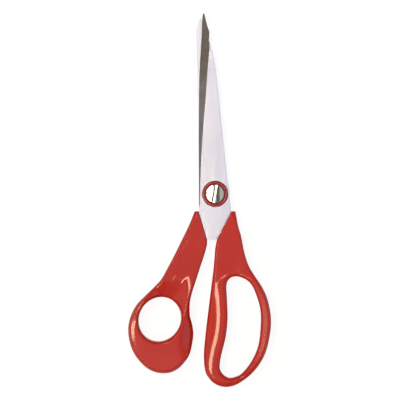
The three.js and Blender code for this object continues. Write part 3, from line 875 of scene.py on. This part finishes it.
pivotSet = {
    "flangeRadius": 7.5,
    "flangeHeight": 1.5,
    "seatFloor": 0.7,
    "headRadius": 5.15,
    "headHeight": 1.9,
    "headRim": 1.4,
    "coneShare": 0.17,
    "slotWidth": 1.2,
    "slotDepth": 1.1,
    "slotLean": -9.7,
    "slotReach": 1.2,
    "slotSections": 49,
    "slotStrip": -3,  # of a slice's sides, the one left of the slot
    "endChamfer": 0.5,
    "edgeBreak": 0.08,
    "breakAngle": 30,
    "flangeSteps": 128,
    "flangeRows": 19,
    "flangeSharpAngle": 35,
    "domeRows": 17,
    "sharpAngle": 22,
    "leftFlare": [(0, -0.4), (0.02, -0.11), (0.9, -0.045), (1.6, 0.6)],
    "rightFlare": [(0, -0.3), (0.04, -0.1), (0.1, -0.01), (0.5, 0.4)],
}
seatHeight = frontFace + pivotFit["runningClearance"] + pivotSet["seatFloor"]


def faceSide(profile, rear):
    return [(r, -z if rear else z) for r, z in profile]


def makeBush(name, rear):
    bore = pivotFit["shankRadius"] + pivotFit["seatClearance"]
    base = frontFace + pivotFit["runningClearance"]
    recess = pivotSet["headRadius"] + pivotFit["seatClearance"]
    middle = (pivotSet["flangeRadius"] + recess) / 2
    halfRing = pivotSet["flangeRadius"] - middle
    rise = pivotSet["flangeHeight"] - pivotSet["seatFloor"]
    profile = [
        (bore, pivotFit["bladeGap"]), (pivotFit["sleeveRadius"], pivotFit["bladeGap"]),
        (pivotFit["sleeveRadius"], base), (pivotSet["flangeRadius"], base)]
    for angle in np.linspace(0, math.pi, pivotSet["flangeRows"]):
        profile.append((middle + halfRing * math.cos(angle), seatHeight + rise * math.sin(angle)))
    profile.append((bore, seatHeight))
    piece = turnedPiece(name, faceSide(profile, rear), pivotSet["flangeSteps"])
    shadeSmooth(piece, pivotSet["flangeSharpAngle"])
    return piece


def domeHeight(radius):
    out = radius / pivotSet["headRadius"]
    fall = mix(out ** 2, out, pivotSet["coneShare"])
    return seatHeight + mix(pivotSet["headHeight"], pivotSet["headRim"], fall)


def domeRows(innerRadius):
    radii = np.linspace(pivotSet["headRadius"], innerRadius, pivotSet["domeRows"])
    return [(radius, domeHeight(radius)) for radius in radii]


def makeScrew():
    shank = pivotFit["shankRadius"]
    end = -(seatHeight + pivotSet["headHeight"] - pivotSet["endChamfer"])
    profile = [
        (0, end), (shank - pivotSet["endChamfer"], end), (shank, end + pivotSet["endChamfer"]),
        (shank, seatHeight), (pivotSet["headRadius"], seatHeight)] + domeRows(0)
    piece = turnedPiece("pivotScrew", profile)
    breakEdges(piece, pivotSet["edgeBreak"], pivotSet["breakAngle"])
    floor = seatHeight + pivotSet["headHeight"] - pivotSet["slotDepth"]
    lean = math.radians(pivotSet["slotLean"])
    half = pivotSet["slotWidth"] / 2
    slices = []  # sections along the slot, whose sides flare out where they meet the dome
    reach = pivotSet["slotReach"]
    for y in np.linspace(-reach, reach, pivotSet["slotSections"]) * pivotSet["headRadius"]:
        surface = domeHeight(min(abs(y), pivotSet["headRadius"]))
        right = [(half + out, surface + up) for out, up in pivotSet["rightFlare"]]
        left = [(-half - out, surface + up) for out, up in pivotSet["leftFlare"]]
        section = [(-half, floor), (half, floor)] + right + left[::-1]
        slices.append([
            (x * math.cos(lean) - y * math.sin(lean), x * math.sin(lean) + y * math.cos(lean), z)
            for x, z in section])
    sides = [1] * len(slices[0])
    sides[pivotSet["slotStrip"]] = 2
    cutter = ringPiece("slotCutter", slices, False, slotOf=sides)
    # the slot's faces take the slot steel with its painted highlight, and the strip left of the
    # slot takes the screw steel
    for target in (piece, cutter):
        for material in (screwSteel, slotSteelPaintedHighlight, screwSteel):
            target.data.materials.append(material)
    cutOut(piece, cutter)
    shadeSmooth(piece, pivotSet["sharpAngle"])
    sharpenBorders(piece)
    return piece


def makeNut():
    bore = pivotFit["shankRadius"] + pivotFit["seatClearance"]
    profile = [(bore, seatHeight), (pivotSet["headRadius"], seatHeight)] + domeRows(bore)
    piece = turnedPiece("pivotNut", faceSide(profile, True))
    breakEdges(piece, pivotSet["edgeBreak"], pivotSet["breakAngle"])
    shadeSmooth(piece, pivotSet["sharpAngle"])
    return piece


dress(makeBush("frontBush", False), "finger_half", "bush_plastic", "front_bush", bushRed)
dress(makeBush("rearBush", True), "finger_half", "bush_plastic", "rear_bush", bushRed)
dress(makeScrew(), "finger_half", "screw_steel", "pivot_screw")
dress(makeNut(), "finger_half", "screw_steel", "pivot_nut", screwSteel)


# Floor, light and camera

studio = {
    "floorSize": 8,
    "floorColour": (0.12, 0.12, 0.12),
    "floorGlow": 0.925,
    "keySize": (0.25, 0.95),
    "keyPlace": (-0.235, 0.0, 1.2),
    "keyRadiance": 12,
    "keyColour": (1, 0.89, 0.6),
    # colour of the room from the left (0) over the top (0.5) to the right (1)
    "room": [
        (0.0, (0.55, 0.61, 0.7)), (0.08, (0.6, 0.65, 0.73)), (0.17, (0.65, 0.65, 0.69)),
        (0.25, (0.33, 0.33, 0.35)), (0.36, (0.34, 0.36, 0.41)), (0.41, (0.43, 0.48, 0.62)),
        (0.52, (0.43, 0.48, 0.62)), (0.535, (0.1, 0.105, 0.1)), (0.585, (0.07, 0.08, 0.07)),
        (0.605, (0.6, 0.55, 0.49)), (0.66, (0.5, 0.46, 0.42)), (0.72, (0.26, 0.25, 0.24)),
        (0.86, (0.18, 0.19, 0.21)), (0.95, (0.5, 0.6, 0.76)), (1.0, (0.6, 0.72, 0.9))],
    "panelReach": (0.35, 0.7),
    "endLevel": 0.5,
    "lens": 400,
    "sensorWidth": 36,
    "clipEnd": 20,
    "viewPixels": 400,
    "pixelSize": 0.57,
    "cameraPlace": (0.0002, 0.0001),
}


def makeFloor():
    half = studio["floorSize"] / 2
    mesh = bpy.data.meshes.new("floor")
    corners = [(-half, -half, 0), (half, -half, 0), (half, half, 0), (-half, half, 0)]
    mesh.from_pydata(corners, [], [(0, 1, 2, 3)])
    floor = bpy.data.objects.new("floor", mesh)
    bpy.context.scene.collection.objects.link(floor)
    material = bpy.data.materials.new("paleFloor")
    material.use_nodes = True
    tree = material.node_tree
    tree.nodes.clear()
    matt = tree.nodes.new("ShaderNodeBsdfDiffuse")
    matt.inputs["Color"].default_value = (*studio["floorColour"], 1)
    ray = tree.nodes.new("ShaderNodeLightPath").outputs
    seen = worked(tree, "MAXIMUM", ray["Is Camera Ray"], ray["Is Glossy Ray"])
    seen = worked(tree, "MAXIMUM", seen, ray["Is Transmission Ray"])
    glow = tree.nodes.new("ShaderNodeEmission")
    level = worked(tree, "MULTIPLY", seen, studio["floorGlow"])
    tree.links.new(level, glow.inputs["Strength"])
    both = tree.nodes.new("ShaderNodeAddShader")
    tree.links.new(matt.outputs["BSDF"], both.inputs[0])
    tree.links.new(glow.outputs["Emission"], both.inputs[1])
    out = tree.nodes.new("ShaderNodeOutputMaterial")
    tree.links.new(both.outputs["Shader"], out.inputs["Surface"])
    mesh.materials.append(material)


def makeRoom():
    world = bpy.data.worlds.new("room")
    bpy.context.scene.world = world
    world.use_nodes = True
    tree = world.node_tree
    tree.nodes.clear()
    place = tree.nodes.new("ShaderNodeTexCoord")
    apart = tree.nodes.new("ShaderNodeSeparateXYZ")
    tree.links.new(place.outputs["Generated"], apart.inputs["Vector"])
    across = spread(tree, apart.outputs["X"], -1, 1, 0, 1)
    ramp = tree.nodes.new("ShaderNodeValToRGB")
    while len(ramp.color_ramp.elements) < len(studio["room"]):
        ramp.color_ramp.elements.new(0.5)
    for element, (position, colour) in zip(ramp.color_ramp.elements, studio["room"]):
        element.position = position
        element.color = (*colour, 1)
    tree.links.new(across, ramp.inputs["Fac"])
    reach = worked(tree, "ABSOLUTE", apart.outputs["Y"])
    level = spread(tree, reach, *studio["panelReach"], 1, studio["endLevel"])
    light = tree.nodes.new("ShaderNodeBackground")
    tree.links.new(ramp.outputs["Color"], light.inputs["Color"])
    tree.links.new(level, light.inputs["Strength"])
    out = tree.nodes.new("ShaderNodeOutputWorld")
    tree.links.new(light.outputs["Background"], out.inputs["Surface"])


def makeSoftbox(name, size, place, radiance, colour):
    lamp = bpy.data.lights.new(name, "AREA")
    lamp.shape = "RECTANGLE"
    lamp.size, lamp.size_y = size
    lamp.energy = radiance * math.pi * size[0] * size[1]
    lamp.color = colour
    softbox = bpy.data.objects.new(name, lamp)
    softbox.location = place
    back = Vector((place[0], 0, place[2])).normalized()
    along = Vector((0, 1, 0))
    softbox.rotation_euler = Matrix((along.cross(back), along, back)).transposed().to_euler()
    bpy.context.scene.collection.objects.link(softbox)


def makeCamera():
    view = bpy.data.cameras.new("camera")
    view.lens = studio["lens"]
    view.sensor_width = studio["sensorWidth"]
    view.clip_end = studio["clipEnd"]
    camera = bpy.data.objects.new("camera", view)
    across = studio["viewPixels"] * studio["pixelSize"] * mm
    rise = across * view.lens / view.sensor_width
    camera.location = (*studio["cameraPlace"], pivotPlace[2] + frontFace * mm + rise)
    bpy.context.scene.collection.objects.link(camera)
    bpy.context.scene.camera = camera


makeFloor()
makeRoom()
makeSoftbox(
    "keySoftbox", studio["keySize"], studio["keyPlace"], studio["keyRadiance"], studio["keyColour"])
makeCamera()
bpy.context.scene.view_settings.view_transform = "Standard"
print("studio ready")
